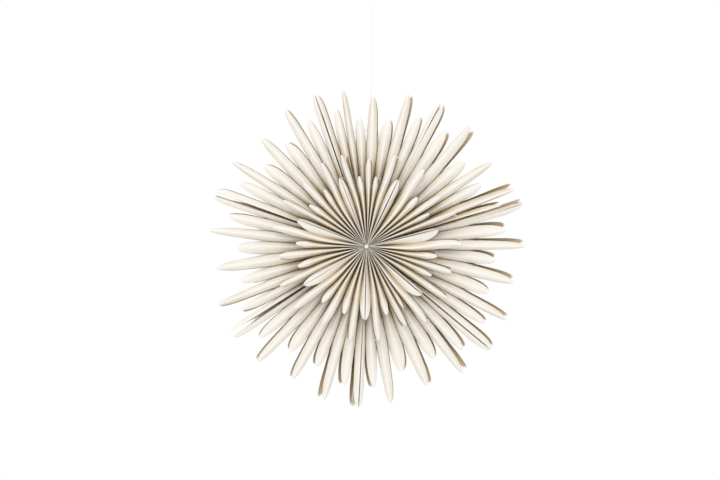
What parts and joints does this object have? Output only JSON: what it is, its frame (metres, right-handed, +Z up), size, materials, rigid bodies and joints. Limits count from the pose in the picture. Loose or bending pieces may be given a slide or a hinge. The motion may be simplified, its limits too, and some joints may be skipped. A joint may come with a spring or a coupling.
{
  "type": "folding paper star",
  "caption": "Hanging paper star of folded, glued petals that opens like a fan round its middle and hangs on a thread.",
  "frame": {"origin": "middle of the star, where the petals meet, half way between front and back", "axes": "+Z up along the hanging thread, -Y towards the front, +X to the right seen from the front"},
  "size_m": [0.589, 0.111, 0.8521],
  "materials": {
    "petal_paper": "uncoated",
    "side_sheet_paper": "uncoated",
    "adhesive_strip": "matt",
    "binding_thread": "twisted",
    "hanging_thread": "twisted"
  },
  "bodies": {
    "hanger": {"hanging_loop": "hanging_thread", "loop_knot": "hanging_thread"},
    "thread": {"hanging_thread": "hanging_thread"},
    "fan_2": {"fan_2_spear_petals": "petal_paper", "fan_2_round_petals": "petal_paper", "fan_2_front_petals": "petal_paper", "fan_2_back_petals": "petal_paper", "anchor_loop": "hanging_thread", "anchor_knot": "hanging_thread", "spine_thread": "binding_thread"},
    "seam_2": {"fan_2_side_sheet_a": "side_sheet_paper", "fan_1_side_sheet_b": "side_sheet_paper", "seam_strip_2": "adhesive_strip"},
    "fan_1": {"fan_1_spear_petals": "petal_paper", "fan_1_round_petals": "petal_paper", "fan_1_front_petals": "petal_paper", "fan_1_back_petals": "petal_paper"},
    "seam_1": {"fan_1_side_sheet_a": "side_sheet_paper", "fan_7_side_sheet_b": "side_sheet_paper", "seam_strip_1": "adhesive_strip"},
    "fan_7": {"fan_7_spear_petals": "petal_paper", "fan_7_round_petals": "petal_paper", "fan_7_front_petals": "petal_paper", "fan_7_back_petals": "petal_paper"},
    "seam_7": {"fan_7_side_sheet_a": "side_sheet_paper", "fan_6_side_sheet_b": "side_sheet_paper", "seam_strip_7": "adhesive_strip"},
    "fan_6": {"fan_6_spear_petals": "petal_paper", "fan_6_round_petals": "petal_paper", "fan_6_front_petals": "petal_paper", "fan_6_back_petals": "petal_paper"},
    "seam_6_right": {"fan_6_side_sheet_a": "side_sheet_paper"},
    "seam_3": {"fan_2_side_sheet_b": "side_sheet_paper", "fan_3_side_sheet_a": "side_sheet_paper", "seam_strip_3": "adhesive_strip"},
    "fan_3": {"fan_3_spear_petals": "petal_paper", "fan_3_round_petals": "petal_paper", "fan_3_front_petals": "petal_paper", "fan_3_back_petals": "petal_paper"},
    "seam_4": {"fan_3_side_sheet_b": "side_sheet_paper", "fan_4_side_sheet_a": "side_sheet_paper", "seam_strip_4": "adhesive_strip"},
    "fan_4": {"fan_4_spear_petals": "petal_paper", "fan_4_round_petals": "petal_paper", "fan_4_front_petals": "petal_paper", "fan_4_back_petals": "petal_paper"},
    "seam_5": {"fan_4_side_sheet_b": "side_sheet_paper", "fan_5_side_sheet_a": "side_sheet_paper", "seam_strip_5": "adhesive_strip"},
    "fan_5": {"fan_5_spear_petals": "petal_paper", "fan_5_round_petals": "petal_paper", "fan_5_front_petals": "petal_paper", "fan_5_back_petals": "petal_paper"},
    "seam_6_left": {"fan_5_side_sheet_b": "side_sheet_paper", "seam_strip_6": "adhesive_strip"}
  },
  "joints": [
    {"name": "thread_swing", "type": "hinge", "parent": "hanger", "child": "thread", "pos_m": [0.0084, 0, 0.51], "axis": [1, 0, 0], "range_deg": [-15, 15]},
    {"name": "star_spin", "type": "hinge", "parent": "thread", "child": "fan_2", "pos_m": [0.0084, 0, 0.22795], "axis": [0, 0, 1], "continuous": true},
    {"name": "fold_seam_2", "type": "hinge", "parent": "fan_2", "child": "seam_2", "pos_m": [0, 0, 0], "axis": [0, -1, 0], "range_deg": [0, 22.92]},
    {"name": "fold_fan_1", "type": "hinge", "parent": "fan_2", "child": "fan_1", "pos_m": [0, 0, 0], "axis": [0, -1, 0], "range_deg": [0, 45.12], "deforming": ["fan_1_spear_petals", "fan_1_round_petals", "fan_1_front_petals", "fan_1_back_petals"]},
    {"name": "fold_seam_1", "type": "hinge", "parent": "fan_2", "child": "seam_1", "pos_m": [0, 0, 0], "axis": [0, -1, 0], "range_deg": [0, 67.32]},
    {"name": "fold_fan_7", "type": "hinge", "parent": "fan_2", "child": "fan_7", "pos_m": [0, 0, 0], "axis": [0, -1, 0], "range_deg": [0, 92.62], "deforming": ["fan_7_spear_petals", "fan_7_round_petals", "fan_7_front_petals", "fan_7_back_petals"]},
    {"name": "fold_seam_7", "type": "hinge", "parent": "fan_2", "child": "seam_7", "pos_m": [0, 0, 0], "axis": [0, -1, 0], "range_deg": [0, 117.92]},
    {"name": "fold_fan_6", "type": "hinge", "parent": "fan_2", "child": "fan_6", "pos_m": [0, 0, 0], "axis": [0, -1, 0], "range_deg": [0, 142.15], "deforming": ["fan_6_spear_petals", "fan_6_round_petals", "fan_6_front_petals", "fan_6_back_petals", "fan_2_spear_petals", "fan_2_round_petals", "fan_2_front_petals", "fan_2_back_petals", "anchor_loop"]},
    {"name": "fold_seam_6_right", "type": "hinge", "parent": "fan_2", "child": "seam_6_right", "pos_m": [0, 0, 0], "axis": [0, -1, 0], "range_deg": [0, 166.42]},
    {"name": "fold_seam_3", "type": "hinge", "parent": "fan_2", "child": "seam_3", "pos_m": [0, 0, 0], "axis": [0, 1, 0], "range_deg": [0, 18.87]},
    {"name": "fold_fan_3", "type": "hinge", "parent": "fan_2", "child": "fan_3", "pos_m": [0, 0, 0], "axis": [0, 1, 0], "range_deg": [0, 42.99], "deforming": ["fan_3_spear_petals", "fan_3_round_petals", "fan_3_front_petals", "fan_3_back_petals"]},
    {"name": "fold_seam_4", "type": "hinge", "parent": "fan_2", "child": "seam_4", "pos_m": [0, 0, 0], "axis": [0, 1, 0], "range_deg": [0, 67.12]},
    {"name": "fold_fan_4", "type": "hinge", "parent": "fan_2", "child": "fan_4", "pos_m": [0, 0, 0], "axis": [0, 1, 0], "range_deg": [0, 91.12], "deforming": ["fan_4_spear_petals", "fan_4_round_petals", "fan_4_front_petals", "fan_4_back_petals"]},
    {"name": "fold_seam_5", "type": "hinge", "parent": "fan_2", "child": "seam_5", "pos_m": [0, 0, 0], "axis": [0, 1, 0], "range_deg": [0, 115.12]},
    {"name": "fold_fan_5", "type": "hinge", "parent": "fan_2", "child": "fan_5", "pos_m": [0, 0, 0], "axis": [0, 1, 0], "range_deg": [0, 140.37], "deforming": ["fan_5_spear_petals", "fan_5_round_petals", "fan_5_front_petals", "fan_5_back_petals"]},
    {"name": "fold_seam_6_left", "type": "hinge", "parent": "fan_2", "child": "seam_6_left", "pos_m": [0, 0, 0], "axis": [0, 1, 0], "range_deg": [0, 165.62]}
  ],
  "couplings": [
    {"joint": "fold_seam_2", "follows": "fold_fan_6", "ratio": 0.1611},
    {"joint": "fold_fan_1", "follows": "fold_fan_6", "ratio": 0.31727},
    {"joint": "fold_seam_1", "follows": "fold_fan_6", "ratio": 0.47344},
    {"joint": "fold_fan_7", "follows": "fold_fan_6", "ratio": 0.65143},
    {"joint": "fold_seam_7", "follows": "fold_fan_6", "ratio": 0.82941},
    {"joint": "fold_seam_6_right", "follows": "fold_fan_6", "ratio": 1.1706},
    {"joint": "fold_seam_3", "follows": "fold_fan_6", "ratio": 0.13261},
    {"joint": "fold_fan_3", "follows": "fold_fan_6", "ratio": 0.30232},
    {"joint": "fold_seam_4", "follows": "fold_fan_6", "ratio": 0.47204},
    {"joint": "fold_fan_4", "follows": "fold_fan_6", "ratio": 0.64087},
    {"joint": "fold_seam_5", "follows": "fold_fan_6", "ratio": 0.80971},
    {"joint": "fold_fan_5", "follows": "fold_fan_6", "ratio": 0.98734},
    {"joint": "fold_seam_6_left", "follows": "fold_fan_6", "ratio": 1.165}
  ]
}
